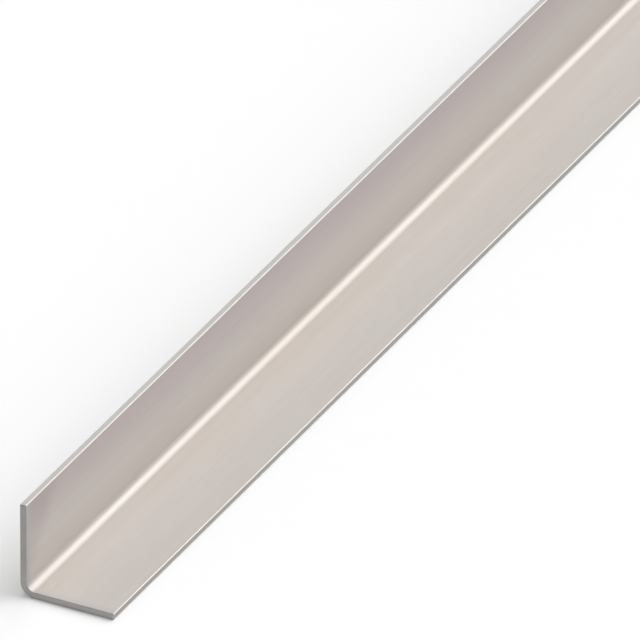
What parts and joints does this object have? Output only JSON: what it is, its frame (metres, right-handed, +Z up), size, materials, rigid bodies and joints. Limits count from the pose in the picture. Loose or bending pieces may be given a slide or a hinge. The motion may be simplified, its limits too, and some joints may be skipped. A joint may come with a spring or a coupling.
{
  "type": "metal angle section",
  "caption": "Equal-leg steel angle, cold-formed from one strip: two flat legs at right angles joined by a rounded fold, with square-cut ends and lightly rounded edges.",
  "frame": {"origin": "at mid-length, under the middle of the overall width, on the plane that the foot rests on", "axes": "+Y runs along the stock, +X points out along the foot away from the heel, +Z points up the upright leg"},
  "size_m": [0.03, 1, 0.03],
  "materials": {
    "mill_steel": "smooth satin cold-rolled surface, warm light grey, with slightly darker and more neutral slit edges and cut ends"
  },
  "bodies": {
    "root": {"angle_section": "mill_steel"}
  },
  "joints": []
}
